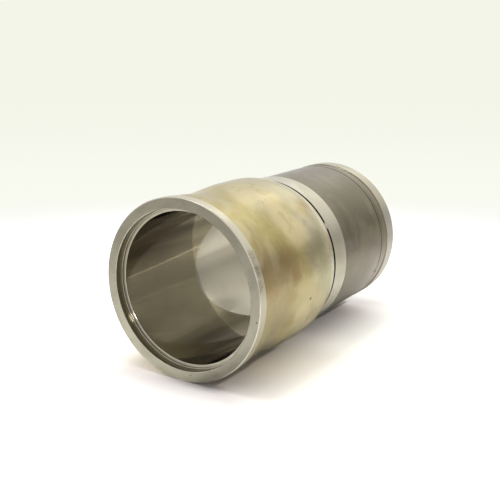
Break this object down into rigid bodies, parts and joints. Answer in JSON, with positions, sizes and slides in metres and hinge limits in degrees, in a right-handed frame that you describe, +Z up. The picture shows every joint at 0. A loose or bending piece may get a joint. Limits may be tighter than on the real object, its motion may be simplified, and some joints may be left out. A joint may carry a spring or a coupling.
{
  "type": "cylinder liner",
  "caption": "Wet cylinder liner: a thick-walled iron sleeve with a honed bore, a top rim, a waisted jacket, a mid-height stop shoulder and a thin skirt.",
  "frame": {"origin": "centre of the skirt end, the flat ring that the liner stands on", "axes": "+Z up along the bore axis, from the skirt end towards the top face under the cylinder head; X and Y are alike"},
  "size_m": [0.1554, 0.1554, 0.261],
  "materials": {
    "liner_iron": "turned and honed, satin, with a thin golden oil film on the jacket"
  },
  "bodies": {
    "root": {"cylinder_liner": "liner_iron"}
  },
  "joints": []
}
